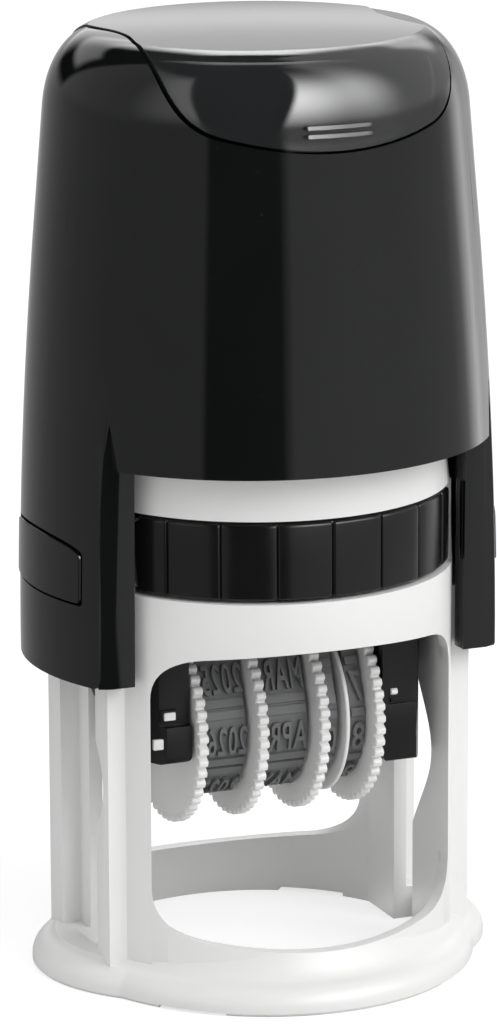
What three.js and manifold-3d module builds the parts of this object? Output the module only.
// A round self-inking date stamp. Pressing the cap turns the printing die over and down to the paper,
// while four thumb wheels carry the rubber bands of the date. Millimetres, +Z up, the front is -Y, and
// the origin is the middle of the foot's underside.
import * as THREE from 'three';
import { mergeVertices } from 'three/addons/utils/BufferGeometryUtils.js';
import Module from 'manifold-3d';

const wasm = await Module();
wasm.setup();

// Driving dimensions: clearances and the overrun of every cut
const gap = 0.3;
const looseGap = 0.5;
const overrun = 1.1;

// Driving dimensions: printing die and turning mechanism
const dieRadius = 15;
const printHeight = 6.3;
const pressStroke = 28;
const axleRadius = 2;
const axleTipRadius = 1.2;
const axleTipLength = 3.6;
const guidePinRadius = 1.5;
const guidePinDrop = 5;
const rubberThickness = 1.4;
const rubberInset = 0.3;
const diePlateThickness = 1.9;
const borderWidth = 0.7;
const borderDepth = 0.4;

// Driving dimensions: frame
const webRoom = 0.8;
const webWall = 1.4;
const ribDepth = 2;
const ribInnerY = 4.9;
const ribOuterY = 8.2;
const frameShoulder = 3.4;
const frameWall = 1.2;
const sillZ = 5.3;
const sillRise = 1.7;
const windowHead = 1.1;
const windowHeadDrop = 1.3;
const windowFillet = 4;
const collarLedge = 1.4;
const ribHead = 3.2;
const deckThickness = 1.6;
const wellDepth = 5;
const upperTaper = 0.7;

// Driving dimensions: foot
const footSpreadX = 4.2;
const footRingSpreadX = 2;
const footFlangeHalfWidth = 17.5;
const footSpreadY = 3.5;
const footEdgeZ = 2.7;
const footEdgeRound = 1.9;
const footSeatZ = 3.3;
const footFilletZ = 5.7;
const footGroove = 0.35;
const footGrooveAngle = 40;

// Driving dimensions: ink cassette
const cassetteHeight = 7.5;
const cassetteRoof = 1.2;
const cassetteSetback = 0.3;
const bandExtra = 0.8;
const bandWall = 2.2;
const padRadiusRoom = 0.25;
const ribPanels = 6;
const ribPanelAngle = THREE.MathUtils.degToRad(16.7);
const ribGrooveDepth = 0.35;
const ribGrooveWidth = 0.7;
const bandCorner = 1.2;

// Driving dimensions: cap
const capRoom = 4.4;
const capFlatness = 0.97;
const capWall = 1.5;
const skirtReveal = 5.2;
const roofRoom = 6.3;
const roofWall = 1.85;
const shoulderDrop = 7.3;
const shoulderInset = 2.8;
const rimInset = 4.4;
const crown = 0.3;
const armHalfWidth = 10.6;
const armRoom = 0.4;
const armLipRoom = 1.5;
const notchWidth = 1;
const notchHeight = 4.5;
const notchLean = 0.2;
const armCorner = 0.8;
const armLanding = 0.6;
const armRootRise = 4;

// Driving dimensions: index window and its card
const windowThickness = 1;
const windowProud = 0.15;
const windowWaist = 13.7;
const windowFlare = 14.8;
const windowFlareY = 9;
const windowDrop = 8.85;
const windowLipRise = 2.8;
const windowLipCorner = 4;
const cardThickness = 0.35;
const cardMargin = 0.8;
const gripLength = 6.6;
const gripWidth = 0.45;
const gripPitch = 0.8;
const gripHeight = 0.35;
const gripRise = 1.1;

// Driving dimensions: lock buttons
const buttonHalfWidth = 8.3;
const buttonRise = 7.8;
const buttonEndHeight = 4.6;
const buttonCrown = 1.3;
const buttonCrownShare = 0.85;
const buttonProud = 0.2;
const buttonTravel = 1;
const buttonFlange = 0.5;
const buttonFlangeRise = 1;
const buttonNose = 1.9;
const buttonNoseHalfWidth = 2;
const buttonNoseHeight = 3;

// Driving dimensions: date wheels, drums and bands
const wheelDrop = 9.8;
const wheelRadius = 10;
const wheelThickness = 1;
const toothCount = 50;
const toothDepth = 0.45;
const toothTipShare = 0.36;
const spoolBore = 1.3;
const dateAxleRadius = 1;
const drumRadius = 6.3;
const drumRoom = 0.3;
const bandThickness = 1.1;
const bandSideRoom = 0.2;
const yearShare = 0.36;
const monthShare = 0.3667;
const dayShare = 0.3267;
const dateOffsetShare = -0.0267;
const discThickness = 0.4;
const discRadius = 8.6;
const bridgeHalfWidth = 1.5;
const bridgeEnd = 1.8;
const bandTopHalfWidth = 2.9;

// Driving dimensions: carriage
const plateHalfWidth = 8.8;
const plateRoundRadius = 15.9;
const leftPlateDrop = 12;
const rightPlateDrop = 13.9;
const plateCorner = 3;
const carriageTopRise = 0.6;
const carriageTopThickness = 1.8;
const bandHoleHalfWidth = 4.6;
const plateHoleHalfWidth = 3.6;
const rubberHoleMargin = 0.35;

// Driving dimensions: main spring
const springRadius = 7.4;
const springWire = 0.9;
const springTurns = 9;
const springRingWall = 1;
const springRingHeight = 3;

// How near two corners lie to count as one, as a share of the cap's height
const weldShare = 1e-6;

// Facets of round and curved stretches
const roundSides = 40;
const smallSides = 16;
const arcSteps = 10;
const wireSides = 5;
const stepsPerTurn = 10;

// Places worked out from the driving dimensions
const axleZ = printHeight + pressStroke;
const printZ = axleZ + printHeight;
const webInnerX = dieRadius + webRoom;
const webOuterX = webInnerX + webWall;
const ribOuterX = webOuterX + ribDepth;
const frameRadius = webInnerX + frameShoulder;
const boreRadius = frameRadius - frameWall;
const windowTopZ = axleZ + windowHead;
const ribTopZ = axleZ + ribHead;
const cassetteZ = printZ;
const cassetteTopZ = cassetteZ + cassetteHeight;
const cassetteHalfWidth = webInnerX + looseGap - gap;
const cassetteRadius = frameRadius - cassetteSetback;
const bandHalfWidth = webInnerX + bandExtra;
const collarRadius = boreRadius - collarLedge;
const deckZ = cassetteTopZ + gap;
const frameTopZ = deckZ + deckThickness + wellDepth;
const skirtZ = cassetteTopZ + skirtReveal;
const roofZ = frameTopZ + pressStroke + roofRoom;
const windowSeatDepth = windowThickness + gap;
const cardPocketDepth = cardThickness + looseGap - gap;
const capTopZ = roofZ + roofWall + cardPocketDepth + windowSeatDepth;
const capRadius = frameRadius + capRoom;
const shoulderZ = capTopZ - shoulderDrop;
const shoulderRadius = capRadius - shoulderInset;
const rimRadius = shoulderRadius - rimInset;
const armInnerX = ribOuterX + armRoom;
const armInnerY = ribOuterY + armRoom;
const armZ = footSeatZ + pressStroke + armLanding;
const armLipX = webInnerX + armLipRoom;
const buttonZ = armZ + buttonRise;
const axleTipX = webOuterX + gap + axleTipLength;
const dateAxleZ = axleZ - wheelDrop;

// Solids: turning three.js geometries into closed solids and back
function toSolid(geometry) {
  const bare = geometry.index ? geometry.toNonIndexed() : geometry.clone();
  bare.deleteAttribute('normal');
  bare.deleteAttribute('uv');
  const merged = mergeVertices(bare, weldShare * capTopZ);
  const corners = merged.index.array;
  const triangles = [];
  for (let i = 0; i < corners.length; i += 3) {
    const [a, b, c] = [corners[i], corners[i + 1], corners[i + 2]];
    if (a !== b && b !== c && c !== a) triangles.push(a, b, c);
  }
  const vertProperties = new Float32Array(merged.attributes.position.array);
  const build = (list) => new wasm.Manifold(new wasm.Mesh({
    numProp: 3, vertProperties, triVerts: new Uint32Array(list),
  }));
  const solid = build(triangles);
  if (solid.volume() > 0) return solid;
  return build(triangles.slice().reverse());
}

function toGeometry(solid) {
  const mesh = solid.getMesh();
  const geometry = new THREE.BufferGeometry();
  geometry.setAttribute('position', new THREE.BufferAttribute(new Float32Array(mesh.vertProperties), 3));
  geometry.setIndex(new THREE.BufferAttribute(new Uint32Array(mesh.triVerts), 1));
  geometry.computeVertexNormals();
  return geometry;
}

function join(...solids) {
  return solids.reduce((sum, solid) => sum.add(solid));
}

function box(x0, x1, y0, y1, z0, z1) {
  const geometry = new THREE.BoxGeometry(x1 - x0, y1 - y0, z1 - z0);
  geometry.translate((x0 + x1) / 2, (y0 + y1) / 2, (z0 + z1) / 2);
  return toSolid(geometry);
}

function column(radius, z0, z1, sides = roundSides) {
  const geometry = new THREE.CylinderGeometry(radius, radius, z1 - z0, sides);
  geometry.rotateX(Math.PI / 2);
  geometry.translate(0, 0, (z0 + z1) / 2);
  return toSolid(geometry);
}

function rod(radius, x0, x1, y, z, sides = smallSides) {
  const geometry = new THREE.CylinderGeometry(radius, radius, x1 - x0, sides);
  geometry.rotateZ(Math.PI / 2);
  geometry.translate((x0 + x1) / 2, y, z);
  return toSolid(geometry);
}

// A solid of revolution about Z; its profile is a list of [radius, height] that starts and ends on the axis
function turned(profile, sides = roundSides) {
  const points = profile.map(([radius, height]) => new THREE.Vector2(radius, height));
  const geometry = new THREE.LatheGeometry(points, sides);
  geometry.rotateX(Math.PI / 2);
  return toSolid(geometry);
}

function plainExtrude(shape, depth, steps = arcSteps) {
  return new THREE.ExtrudeGeometry(shape, { depth, bevelEnabled: false, curveSegments: steps });
}

// A shape drawn in X and Y, extruded up from z0 to z1
function extrudeUp(shape, z0, z1, steps) {
  const geometry = plainExtrude(shape, z1 - z0, steps);
  geometry.translate(0, 0, z0);
  return toSolid(geometry);
}

// A shape drawn in Y and Z, extruded from x0 to x1
function extrudeAcross(shape, x0, x1, steps) {
  const geometry = plainExtrude(shape, x1 - x0, steps);
  geometry.rotateX(Math.PI / 2);
  geometry.rotateZ(Math.PI / 2);
  geometry.translate(x0, 0, 0);
  return toSolid(geometry);
}

// A shape drawn in X and Z, extruded through all of Y from -reach to reach
function extrudeThrough(shape, reach, steps) {
  const geometry = plainExtrude(shape, reach * 2, steps);
  geometry.rotateX(Math.PI / 2);
  geometry.translate(0, reach, 0);
  return toSolid(geometry);
}

function mirrored(solid) {
  return solid.mirror([1, 0, 0]);
}

const stamp = new THREE.Group();

function piece(name, solid, look) {
  const mesh = new THREE.Mesh(toGeometry(solid), new THREE.MeshStandardMaterial(look));
  mesh.name = name;
  stamp.add(mesh);
}

const whitePlastic = { color: 0xe9e9e7, roughness: 0.35, metalness: 0 };
const blackPlastic = { color: 0x121413, roughness: 0.18, metalness: 0 };
const greyRubber = { color: 0x5a5c5b, roughness: 0.6, metalness: 0 };
const smokyClear = { color: 0x6f7172, roughness: 0.08, metalness: 0 };
const steel = { color: 0xb9bcbf, roughness: 0.3, metalness: 1 };
const inkFoam = { color: 0x26282c, roughness: 0.95, metalness: 0 };
const cardPaper = { color: 0xd9d9d6, roughness: 0.8, metalness: 0 };

// The path of the guide pin: it leaves the middle line, swings to the front and comes back as the
// carriage turns half over, so its groove bulges to the front
function guidePoint(turn) {
  const y = -guidePinDrop * Math.sin(turn);
  const z = axleZ - pressStroke * turn / Math.PI - guidePinDrop * Math.cos(turn);
  return new THREE.Vector2(y, z);
}

function guideSlotShape() {
  const half = guidePinRadius + gap;
  const shape = new THREE.Shape();
  shape.moveTo(0, guidePoint(0).y + half);
  for (let i = 0; i <= arcSteps; i += 1) {
    const turn = Math.PI * i / arcSteps;
    const here = guidePoint(turn);
    const along = new THREE.Vector2(-guidePinDrop * Math.cos(turn), guidePinDrop * Math.sin(turn) - pressStroke / Math.PI);
    along.normalize();
    shape.lineTo(Math.min(0, here.x + along.y * half), here.y - along.x * half);
  }
  shape.lineTo(0, guidePoint(Math.PI).y - half);
  return shape;
}

function slottedShape(halfWidth, z0, z1) {
  const shape = new THREE.Shape();
  shape.moveTo(-halfWidth, z0 + halfWidth);
  shape.absarc(0, z0 + halfWidth, halfWidth, Math.PI, Math.PI * 2, false);
  shape.lineTo(halfWidth, z1 - halfWidth);
  shape.absarc(0, z1 - halfWidth, halfWidth, 0, Math.PI, false);
  return shape;
}

// The front and rear window of the frame, with an arched sill and head and rounded corners
function frameWindowShape() {
  const w = webInnerX;
  const reach = w - windowFillet;
  const sill = (x) => sillZ + sillRise * (x / w) ** 2;
  const head = (x) => windowTopZ - windowHeadDrop * (x / w) ** 2;
  const shape = new THREE.Shape();
  shape.moveTo(-reach, sill(reach));
  shape.quadraticCurveTo(0, sillZ * 2 - sill(reach), reach, sill(reach));
  shape.quadraticCurveTo(w, sill(w), w, sill(w) + windowFillet);
  shape.lineTo(w, head(w) - windowFillet);
  shape.quadraticCurveTo(w, head(w), reach, head(reach));
  shape.quadraticCurveTo(0, windowTopZ * 2 - head(reach), -reach, head(reach));
  shape.quadraticCurveTo(-w, head(w), -w, head(w) - windowFillet);
  shape.lineTo(-w, sill(w) + windowFillet);
  shape.quadraticCurveTo(-w, sill(w), -reach, sill(reach));
  return shape;
}

// A round ring, drawn in a little on the left and right, with a low flange there for each arm to land on
function foot() {
  const radiusX = frameRadius + footSpreadX;
  const ringX = frameRadius + footRingSpreadX;
  const radiusY = frameRadius + footSpreadY;
  const round = footEdgeRound;
  const slope = footSpreadY - round;
  const profile = [
    [0, 0], [radiusY - footGroove, 0], [radiusY, footGroove], [radiusY, footEdgeZ - round],
    [radiusY - round / 4, footEdgeZ - round / 3], [radiusY - round, footEdgeZ],
    [frameRadius + slope / 2, (footEdgeZ + footFilletZ) / 2 - round / 4],
    [frameRadius + slope / 6, footFilletZ - round / 2],
    [frameRadius, footFilletZ], [0, footFilletZ],
  ];
  const ring = turned(profile).scale([ringX / radiusY, 1, 1]);
  const flange = turned(profile).scale([radiusX / radiusY, footFlangeHalfWidth / radiusY, 1]);
  const skirt = join(ring, flange);
  const reach = radiusX + overrun;
  const seatHalfWidth = armHalfWidth + gap;
  return skirt.subtract(box(-reach, reach, -seatHalfWidth, seatHalfWidth, footSeatZ, footFilletZ + overrun));
}

// Shallow grooves under the foot let air out when the stamp meets the paper
function footGrooves() {
  const reach = frameRadius + footSpreadX + overrun;
  const halfWidth = footSpreadY;
  const bar = box(-halfWidth, halfWidth, -reach, reach, -overrun, footGroove);
  return join(bar.rotate([0, 0, -footGrooveAngle]), bar.rotate([0, 0, footGrooveAngle]));
}

function baseFrame() {
  const wallTopZ = cassetteZ - gap;
  const upper = [
    [0, cassetteZ - gap], [frameRadius, cassetteZ - gap], [frameRadius - cassetteSetback, deckZ],
    [frameRadius - cassetteSetback - upperTaper, frameTopZ], [0, frameTopZ],
  ];
  const posts = join(
    box(-ribOuterX, ribOuterX, -ribOuterY, ribOuterY, 0, ribTopZ),
    box(-webOuterX, webOuterX, -ribOuterY, ribOuterY, 0, deckZ),
  );
  let body = join(column(frameRadius, 0, wallTopZ), turned(upper), foot(), posts);
  const wellRadius = frameRadius - cassetteSetback - upperTaper - frameWall;
  body = body.subtract(column(wellRadius, deckZ + deckThickness, frameTopZ + overrun));
  const bore = join(
    column(boreRadius, -overrun, ribTopZ).intersect(
      box(-webInnerX, webInnerX, -boreRadius, boreRadius, -overrun, ribTopZ)),
    column(collarRadius, 0, cassetteZ).intersect(
      box(-webInnerX, webInnerX, -boreRadius, boreRadius, 0, cassetteZ)),
  );
  body = body.subtract(bore).subtract(extrudeThrough(frameWindowShape(), frameRadius + footSpreadY));
  const slotHalf = webInnerX + looseGap;
  const bandHalf = bandHalfWidth + gap;
  const reach = frameRadius + overrun;
  const bandY = -ribOuterY - gap;
  body = body.subtract(box(-slotHalf, slotHalf, -reach, reach, cassetteZ - gap, deckZ));
  body = body.subtract(box(-bandHalf, bandHalf, -reach, bandY, cassetteZ - gap, deckZ));
  const channelReach = frameRadius + footSpreadX + overrun;
  const channel = join(
    box(webOuterX, channelReach, -ribInnerY, ribInnerY, footSeatZ, frameTopZ + overrun),
    box(webOuterX, channelReach, -ribOuterY, ribOuterY, ribTopZ, frameTopZ + overrun),
  );
  body = body.subtract(channel).subtract(mirrored(channel));
  const slotZ = printHeight - axleRadius - gap;
  const slot = extrudeAcross(slottedShape(axleRadius + gap, slotZ, axleZ + axleRadius + gap), -channelReach, channelReach);
  const bulge = extrudeAcross(guideSlotShape(), -channelReach, channelReach);
  body = body.subtract(slot).subtract(bulge).subtract(footGrooves());
  const ringRadius = springRadius + springWire + looseGap;
  const ringTopZ = deckZ + deckThickness + springRingHeight;
  const ring = column(ringRadius + springRingWall, deckZ, ringTopZ)
    .subtract(column(ringRadius, deckZ + deckThickness, ringTopZ + overrun));
  return body.add(ring);
}
piece('base_frame', baseFrame(), whitePlastic);

// How far the edge of the turning die rises above its resting face before it swings clear
function dieEdgeLift() {
  let lift = 0;
  const steps = roundSides * arcSteps;
  for (let i = 0; i <= steps; i += 1) {
    const turn = Math.PI * i / steps;
    const edge = printHeight * Math.cos(turn) + dieRadius * Math.sin(turn);
    const rise = edge - printHeight - pressStroke * turn / Math.PI;
    lift = Math.max(lift, rise);
  }
  return lift;
}
const padZ = printZ + dieEdgeLift() + gap;
const padTopZ = cassetteTopZ - cassetteRoof - gap;
const padRadius = dieRadius;
const padWellRadius = padRadius + padRadiusRoom;

// The cassette's front is a curved grip of flat panels with a groove at each joint
function gripOutline(inner) {
  const points = [];
  const half = Math.asin(bandHalfWidth / cassetteRadius);
  const place = (radius, angle) => new THREE.Vector2(radius * Math.sin(angle), -radius * Math.cos(angle));
  const grooveHalf = ribGrooveWidth / cassetteRadius / 2;
  points.push(place(cassetteRadius, -half));
  for (let i = -ribPanels / 2; i <= ribPanels / 2; i += 1) {
    const middle = i * ribPanelAngle;
    points.push(place(cassetteRadius, middle - grooveHalf));
    points.push(place(cassetteRadius - ribGrooveDepth, middle));
    points.push(place(cassetteRadius, middle + grooveHalf));
  }
  points.push(place(cassetteRadius, half));
  const innerHalf = Math.asin(bandHalfWidth / inner);
  for (let i = 0; i <= arcSteps; i += 1) points.push(place(inner, innerHalf - innerHalf * 2 * i / arcSteps));
  return new THREE.Shape(points);
}

function padCassette() {
  const w = cassetteHalfWidth;
  const reach = cassetteRadius;
  const core = column(cassetteRadius - cassetteSetback, cassetteZ + gap, cassetteTopZ)
    .intersect(box(-w, w, -reach, reach, cassetteZ, cassetteTopZ));
  const grip = extrudeUp(gripOutline(cassetteRadius - bandWall), cassetteZ, cassetteTopZ);
  const corners = new THREE.Shape();
  const b = bandHalfWidth;
  corners.moveTo(-b, cassetteZ + bandCorner);
  corners.quadraticCurveTo(-b, cassetteZ, bandCorner - b, cassetteZ);
  corners.lineTo(b - bandCorner, cassetteZ);
  corners.quadraticCurveTo(b, cassetteZ, b, cassetteZ + bandCorner);
  corners.lineTo(b, cassetteTopZ - bandCorner);
  corners.quadraticCurveTo(b, cassetteTopZ, b - bandCorner, cassetteTopZ);
  corners.lineTo(bandCorner - b, cassetteTopZ);
  corners.quadraticCurveTo(-b, cassetteTopZ, -b, cassetteTopZ - bandCorner);
  const rounded = grip.intersect(extrudeThrough(corners, reach + overrun, arcSteps / 3));
  const front = rounded.intersect(box(-b, b, -reach - overrun, -ribOuterY - looseGap, cassetteZ, cassetteTopZ));
  const well = column(padWellRadius, cassetteZ - overrun, cassetteTopZ - cassetteRoof);
  return join(core, front).subtract(well);
}
piece('pad_cassette', padCassette(), blackPlastic);
piece('ink_pad', column(padRadius, padZ, padTopZ), inkFoam);

// The cap's outer surface, or a surface inside or outside it by grow
function capProfile(grow) {
  const side = new THREE.CubicBezierCurve(
    new THREE.Vector2(capRadius, armZ + armLanding),
    new THREE.Vector2(capRadius, skirtZ),
    new THREE.Vector2(capRadius - shoulderInset / 2, (skirtZ + shoulderZ) / 2),
    new THREE.Vector2(shoulderRadius, shoulderZ),
  );
  const edge = new THREE.CubicBezierCurve(
    new THREE.Vector2(shoulderRadius, shoulderZ),
    new THREE.Vector2(shoulderRadius - crown, shoulderZ + shoulderDrop / 2),
    new THREE.Vector2(shoulderRadius - rimInset / 2 + crown, capTopZ - crown * 3),
    new THREE.Vector2(rimRadius, capTopZ),
  );
  const points = [[capRadius + grow, armZ - overrun]];
  const add = (curve, first, steps) => {
    for (let i = first; i <= steps; i += 1) {
      const here = curve.getPoint(i / steps);
      const along = curve.getTangent(i / steps);
      points.push([here.x + along.y * grow, here.y - along.x * grow]);
    }
  };
  add(side, 0, arcSteps / 2);
  add(edge, 1, arcSteps / 2);
  points.push([rimRadius / 2, capTopZ + crown * 3 / 4 + grow]);
  return [[0, armZ - overrun], ...points, [0, capTopZ + crown + grow]];
}

function capBody(grow) {
  return turned(capProfile(grow)).scale([1, capFlatness, 1]);
}

const capReach = capRadius + overrun;

// The part of the cap's surface that the index window covers: waisted seen from above, and a broad
// lip seen from the front
function windowRegion(grow) {
  const flare = windowFlare + grow;
  const waist = windowWaist + grow;
  const flarePull = windowFlareY * 0.5;
  const waistPull = windowFlareY * 0.4;
  const plan = new THREE.Shape();
  plan.moveTo(flare, -capReach);
  plan.lineTo(flare, -windowFlareY);
  plan.bezierCurveTo(flare, -flarePull, waist, -waistPull, waist, 0);
  plan.bezierCurveTo(waist, waistPull, flare, flarePull, flare, windowFlareY);
  plan.lineTo(flare, capReach);
  plan.lineTo(-flare, capReach);
  plan.lineTo(-flare, windowFlareY);
  plan.bezierCurveTo(-flare, flarePull, -waist, waistPull, -waist, 0);
  plan.bezierCurveTo(-waist, -waistPull, -flare, -flarePull, -flare, -windowFlareY);
  plan.lineTo(-flare, -capReach);
  const lipZ = capTopZ - windowDrop - grow;
  const endX = flare - windowLipCorner;
  const endZ = lipZ + windowLipRise * (endX / flare) ** 2;
  const front = new THREE.Shape();
  front.moveTo(-endX, endZ);
  front.quadraticCurveTo(0, lipZ * 2 - endZ, endX, endZ);
  front.quadraticCurveTo(flare, lipZ + windowLipRise, flare, endZ + windowLipCorner);
  front.lineTo(flare, capTopZ + overrun * 2);
  front.lineTo(-flare, capTopZ + overrun * 2);
  front.lineTo(-flare, endZ + windowLipCorner);
  front.quadraticCurveTo(-flare, lipZ + windowLipRise, -endX, endZ);
  const tall = extrudeUp(plan, lipZ - overrun, capTopZ + overrun * 2, arcSteps / 2);
  return tall.intersect(extrudeThrough(front, capReach, arcSteps / 2));
}

// The outline of a lock button seen from the side: nearly flat below and arched above
function buttonOutline(grow) {
  const half = buttonHalfWidth + grow;
  const bottom = buttonZ - grow;
  const top = buttonZ + buttonEndHeight + grow;
  const shape = new THREE.Shape();
  shape.moveTo(-half, bottom);
  shape.lineTo(half, bottom);
  shape.lineTo(half, top);
  const archZ = top + buttonCrown * 4 / 3;
  shape.bezierCurveTo(half * buttonCrownShare, archZ, -half * buttonCrownShare, archZ, -half, top);
  return shape;
}

function buttonPocket() {
  const flangeHalf = buttonHalfWidth - buttonFlangeRise + gap;
  const flangeTop = buttonZ + buttonEndHeight + buttonCrown + buttonFlangeRise + gap;
  const flangeX = armInnerX + buttonTravel + buttonFlange + looseGap + gap - armRoom;
  return join(
    extrudeAcross(buttonOutline(gap), armInnerX - overrun, capReach),
    box(armInnerX - overrun, flangeX, -flangeHalf, flangeHalf, buttonZ - buttonFlangeRise - gap, flangeTop),
  );
}

// A narrow notch in the skirt beside each edge of an arm, which runs to a point above
function skirtNotches() {
  const innerX = ribOuterX + notchLean;
  const shape = new THREE.Shape();
  shape.moveTo(innerX, skirtZ - overrun);
  shape.lineTo(innerX + notchWidth, skirtZ - overrun);
  shape.lineTo(innerX + notchWidth, skirtZ);
  shape.lineTo(innerX + (notchWidth - notchLean) / 2, skirtZ + notchHeight);
  shape.lineTo(innerX, skirtZ);
  const through = extrudeThrough(shape, capReach);
  const both = join(through, mirrored(through));
  return both.subtract(box(-capReach, capReach, -armHalfWidth, armHalfWidth, skirtZ - overrun, capTopZ));
}

function outerCap() {
  const inner = capBody(-capWall);
  const upper = capBody(0)
    .subtract(box(-capReach, capReach, -capReach, capReach, armZ - overrun * 2, skirtZ))
    .subtract(inner.intersect(box(-capReach, capReach, -capReach, capReach, skirtZ - overrun, roofZ)));
  const armShape = new THREE.Shape();
  armShape.moveTo(-armHalfWidth, armZ + armCorner);
  armShape.quadraticCurveTo(-armHalfWidth, armZ, armCorner - armHalfWidth, armZ);
  armShape.lineTo(armHalfWidth - armCorner, armZ);
  armShape.quadraticCurveTo(armHalfWidth, armZ, armHalfWidth, armZ + armCorner);
  armShape.lineTo(armHalfWidth, skirtZ + armRootRise);
  armShape.lineTo(-armHalfWidth, skirtZ + armRootRise);
  const arm = capBody(0)
    .intersect(extrudeAcross(armShape, armLipX, capReach))
    .subtract(column(frameRadius + gap, armZ - overrun, skirtZ + armRootRise + overrun));
  const ringRadius = springRadius + springWire + looseGap;
  const ring = column(ringRadius + springRingWall, roofZ - springRingHeight, roofZ + roofWall)
    .subtract(column(ringRadius, roofZ - springRingHeight - overrun, roofZ));
  const ribClearZ = ribTopZ + pressStroke + gap;
  let cap = join(upper.subtract(skirtNotches()), arm, mirrored(arm), ring);
  cap = cap.subtract(box(-armInnerX, armInnerX, -armInnerY, armInnerY, armZ - overrun, ribClearZ));
  cap = cap.subtract(rod(axleTipRadius + gap, -axleTipX - gap, axleTipX + gap, 0, axleZ));
  const pocket = buttonPocket();
  cap = cap.subtract(pocket).subtract(mirrored(pocket));
  const seat = capBody(capRoom).subtract(capBody(-windowSeatDepth)).intersect(windowRegion(gap));
  const cardRadius = windowWaist - cardMargin + gap;
  const cardFloorZ = capTopZ - windowSeatDepth - cardPocketDepth;
  return cap.subtract(seat).subtract(column(cardRadius, cardFloorZ, capTopZ + crown * 2));
}
piece('outer_cap', outerCap(), blackPlastic);

function indexWindow() {
  const shell = capBody(windowProud).subtract(capBody(-windowThickness)).intersect(windowRegion(0));
  const gripZ = capTopZ - windowDrop + gripRise;
  const half = gripLength / 2;
  const ridge = (z) => capBody(gripHeight)
    .subtract(capBody(-windowThickness / 2))
    .intersect(box(-half, half, -capReach, 0, z, z + gripWidth));
  return join(shell, ridge(gripZ), ridge(gripZ + gripPitch));
}
piece('index_window', indexWindow(), smokyClear);

const cardZ = capTopZ - windowSeatDepth - cardPocketDepth + (cardPocketDepth - cardThickness) / 2;
piece('index_card', column(windowWaist - cardMargin, cardZ, cardZ + cardThickness), cardPaper);

function lockButton() {
  const flangeX = armInnerX + buttonTravel - armRoom + gap;
  const flangeHalf = buttonHalfWidth - buttonFlangeRise;
  const flangeTop = buttonZ + buttonEndHeight + buttonCrown + buttonFlangeRise;
  const head = extrudeAcross(buttonOutline(0), flangeX + buttonFlange / 2, capReach).intersect(capBody(buttonProud));
  const flange = box(flangeX, flangeX + buttonFlange, -flangeHalf, flangeHalf, buttonZ - buttonFlangeRise, flangeTop);
  const noseZ = buttonZ + buttonFlangeRise;
  const nose = box(flangeX - buttonNose, flangeX + buttonFlange, -buttonNoseHalfWidth, buttonNoseHalfWidth,
    noseZ, noseZ + buttonNoseHeight);
  return join(head, flange, nose);
}
const rightButton = lockButton();
piece('lock_button_right', rightButton, blackPlastic);
piece('lock_button_left', mirrored(rightButton), blackPlastic);

// The date wheels and the spaces for the bands, from left to right
const spaces = [yearShare, monthShare, dayShare].map((share) => share * dieRadius);
const dateWidth = wheelThickness * 4 + spaces.reduce((sum, space) => sum + space);
const dateMiddleX = dateOffsetShare * dieRadius;
const dateLeftX = dateMiddleX - dateWidth / 2;
const dateRightX = dateMiddleX + dateWidth / 2;
const wheelX = [dateLeftX];
for (const space of spaces) wheelX.push(wheelX[wheelX.length - 1] + wheelThickness + space);
const discX = wheelX[2] + wheelThickness + (spaces[2] - discThickness) / 2;

const bandTopZ = printZ;
const bridgeTopZ = bandTopZ - bandThickness - gap;
const carriageTopZ = axleZ + carriageTopRise + carriageTopThickness;

function carriage() {
  const outerX = webInnerX - looseGap;
  const plate = (x0, x1, drop) => {
    const shape = new THREE.Shape();
    const z = axleZ - drop;
    shape.moveTo(-plateHalfWidth, z + plateCorner);
    shape.quadraticCurveTo(-plateHalfWidth, z, plateCorner - plateHalfWidth, z);
    shape.lineTo(plateHalfWidth - plateCorner, z);
    shape.quadraticCurveTo(plateHalfWidth, z, plateHalfWidth, z + plateCorner);
    shape.lineTo(plateHalfWidth, carriageTopZ);
    shape.lineTo(-plateHalfWidth, carriageTopZ);
    return extrudeAcross(shape, x0, x1);
  };
  const round = column(plateRoundRadius, axleZ - rightPlateDrop - overrun, carriageTopZ);
  const plates = join(
    plate(-outerX, dateLeftX - gap, leftPlateDrop),
    plate(dateRightX + gap, outerX, rightPlateDrop),
  ).intersect(round);
  const table = column(dieRadius, axleZ + carriageTopRise, carriageTopZ)
    .subtract(box(dateLeftX, dateRightX, -bandHoleHalfWidth, bandHoleHalfWidth, axleZ, printZ));
  const pinX = webOuterX + gap / 3;
  const shafts = join(
    rod(axleRadius, dateRightX + looseGap, webOuterX + gap, 0, axleZ),
    rod(axleTipRadius, webOuterX, axleTipX, 0, axleZ),
    rod(guidePinRadius, dateRightX + looseGap, pinX, 0, axleZ - guidePinDrop),
  );
  const leftShafts = mirrored(shafts).subtract(
    box(dateLeftX - gap, 0, -plateHalfWidth, plateHalfWidth, axleZ - leftPlateDrop, printZ));
  const bearing = rod(spoolBore, dateLeftX - gap - bridgeEnd * 2, dateRightX + gap + bridgeEnd * 2, 0, dateAxleZ);
  return join(plates, table, shafts, leftShafts).subtract(bearing);
}
piece('carriage', carriage(), blackPlastic);

const diePlateZ = carriageTopZ + gap;
const dieHoleX0 = dateLeftX - bridgeEnd - gap;
const dieHoleX1 = dateRightX + bridgeEnd + gap;
const diePlateHole = box(dieHoleX0, dieHoleX1, -plateHoleHalfWidth, plateHoleHalfWidth, axleZ, printZ + overrun);
piece('die_plate', column(dieRadius, diePlateZ, diePlateZ + diePlateThickness).subtract(diePlateHole), blackPlastic);

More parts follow.
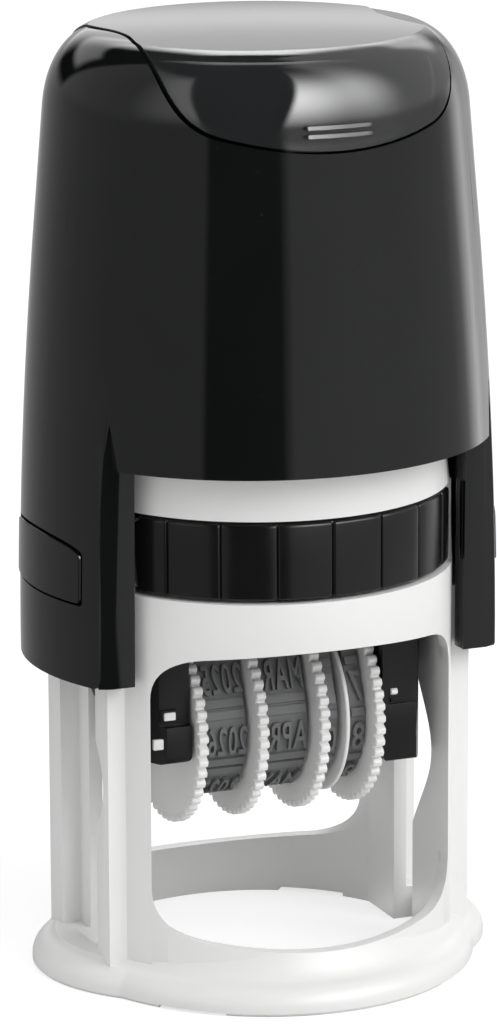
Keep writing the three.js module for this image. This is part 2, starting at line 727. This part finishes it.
function rubberDie() {
  const z0 = printZ - rubberThickness;
  const radius = dieRadius - rubberInset;
  const x0 = wheelX[0] + wheelThickness + bandSideRoom - rubberHoleMargin;
  const x1 = wheelX[3] - bandSideRoom + rubberHoleMargin;
  const half = bandTopHalfWidth + rubberHoleMargin;
  const face = column(radius - borderWidth, printZ - borderDepth, printZ + overrun);
  return column(radius, z0, printZ).subtract(face).subtract(box(x0, x1, -half, half, z0 - overrun, printZ + overrun));
}
piece('rubber_die', rubberDie(), greyRubber);

// The bar that the bands run over under the print face
function bandBridge() {
  const x0 = dateLeftX - bridgeEnd;
  const x1 = dateRightX + bridgeEnd;
  const round = bridgeHalfWidth / 2;
  const shape = new THREE.Shape();
  shape.moveTo(-bridgeHalfWidth, diePlateZ);
  shape.lineTo(bridgeHalfWidth, diePlateZ);
  shape.lineTo(bridgeHalfWidth, bridgeTopZ - round);
  shape.quadraticCurveTo(bridgeHalfWidth, bridgeTopZ, bridgeHalfWidth - round, bridgeTopZ);
  shape.lineTo(round - bridgeHalfWidth, bridgeTopZ);
  shape.quadraticCurveTo(-bridgeHalfWidth, bridgeTopZ, -bridgeHalfWidth, bridgeTopZ - round);
  return extrudeAcross(shape, x0, x1, arcSteps / 3);
}
piece('band_bridge', bandBridge(), blackPlastic);
piece('band_axle', rod(dateAxleRadius, dateLeftX - bridgeEnd * 2, dateRightX + bridgeEnd * 2, 0, dateAxleZ), steel);
const discHub = rod(spoolBore, discX - overrun, discX + discThickness + overrun, 0, dateAxleZ);
const disc = rod(discRadius, discX, discX + discThickness, 0, dateAxleZ, roundSides).subtract(discHub);
piece('separator_disc', disc, whitePlastic);

function toothedRim(x0) {
  const points = [];
  const root = wheelRadius - toothDepth;
  const pitch = Math.PI * 2 / toothCount;
  const put = (radius, angle) => points.push(new THREE.Vector2(radius * Math.cos(angle), radius * Math.sin(angle)));
  for (let i = 0; i < toothCount; i += 1) {
    put(root, i * pitch);
    put(wheelRadius, (i + (1 - toothTipShare) / 2) * pitch);
    put(wheelRadius, (i + (1 + toothTipShare) / 2) * pitch);
  }
  return extrudeAcross(new THREE.Shape(points), x0, x0 + wheelThickness).translate([0, 0, dateAxleZ]);
}

// A spool is a toothed thumb wheel with the drum that turns its band, on the wheel's right or left
function spool(x, drumX0, drumX1) {
  const drum = rod(drumRadius, drumX0, drumX1, 0, dateAxleZ, roundSides / 2);
  const bore = rod(spoolBore, drumX0 - wheelThickness * 2, drumX1 + wheelThickness * 2, 0, dateAxleZ);
  return join(toothedRim(x), drum).subtract(bore);
}

function bandLoop(x0, x1) {
  const outer = drumRadius + drumRoom + bandThickness;
  const inner = drumRadius + drumRoom;
  const topHalf = bandTopHalfWidth;
  const loop = (radius, half, top) => {
    const reach = top - dateAxleZ - half;
    const lean = Math.asin((radius - half) / reach);
    const corner = half / 2;
    const path = new THREE.Path();
    path.absarc(0, dateAxleZ, radius, Math.PI - lean, Math.PI * 2 + lean, false);
    path.lineTo(half * Math.cos(lean), top - half);
    path.quadraticCurveTo(half, top, half - corner, top);
    path.lineTo(corner - half, top);
    path.quadraticCurveTo(-half, top, -half * Math.cos(lean), top - half);
    return path;
  };
  const around = new THREE.Shape(loop(outer, topHalf, bandTopZ).getPoints(arcSteps));
  around.holes.push(new THREE.Path(loop(inner, topHalf - bandThickness, bandTopZ - bandThickness).getPoints(arcSteps)));
  return extrudeAcross(around, x0, x1);
}

const dayMiddle = discX + discThickness / 2;
const dayHalfDisc = discThickness / 2 + gap;
const spools = [
  ['year', wheelX[0], wheelX[0] + wheelThickness, wheelX[1] - gap],
  ['month', wheelX[1], wheelX[1] + wheelThickness, wheelX[2] - gap],
  ['day_tens', wheelX[2], wheelX[2] + wheelThickness, dayMiddle - dayHalfDisc],
  ['day_units', wheelX[3], dayMiddle + dayHalfDisc, wheelX[3]],
];
for (const [name, x, drumX0, drumX1] of spools) {
  piece(`spool_${name}`, spool(x, drumX0 - gap / 3, drumX1 + gap / 3), whitePlastic);
  piece(`band_${name}`, bandLoop(drumX0 + bandSideRoom, drumX1 - bandSideRoom / 2), greyRubber);
}

// The main spring: one wire wound in a helix between the frame's deck and the cap's roof
function mainSpring() {
  const z0 = deckZ + deckThickness + gap + springWire / 2;
  const z1 = roofZ - gap - springWire / 2;
  const points = [];
  const steps = springTurns * stepsPerTurn;
  for (let i = 0; i <= steps; i += 1) {
    const angle = Math.PI * 2 * i / stepsPerTurn;
    const z = z0 + (z1 - z0) * i / steps;
    points.push(new THREE.Vector3(springRadius * Math.cos(angle), springRadius * Math.sin(angle), z));
  }
  const sections = [];
  for (let i = 0; i < wireSides; i += 1) {
    const angle = Math.PI * 2 * i / wireSides;
    sections.push(new THREE.Vector2(Math.cos(angle), Math.sin(angle)).multiplyScalar(springWire / 2));
  }
  const path = new THREE.CatmullRomCurve3(points);
  return toSolid(new THREE.ExtrudeGeometry(new THREE.Shape(sections), { steps, extrudePath: path, bevelEnabled: false }));
}
piece('main_spring', mainSpring(), steel);

export default stamp;
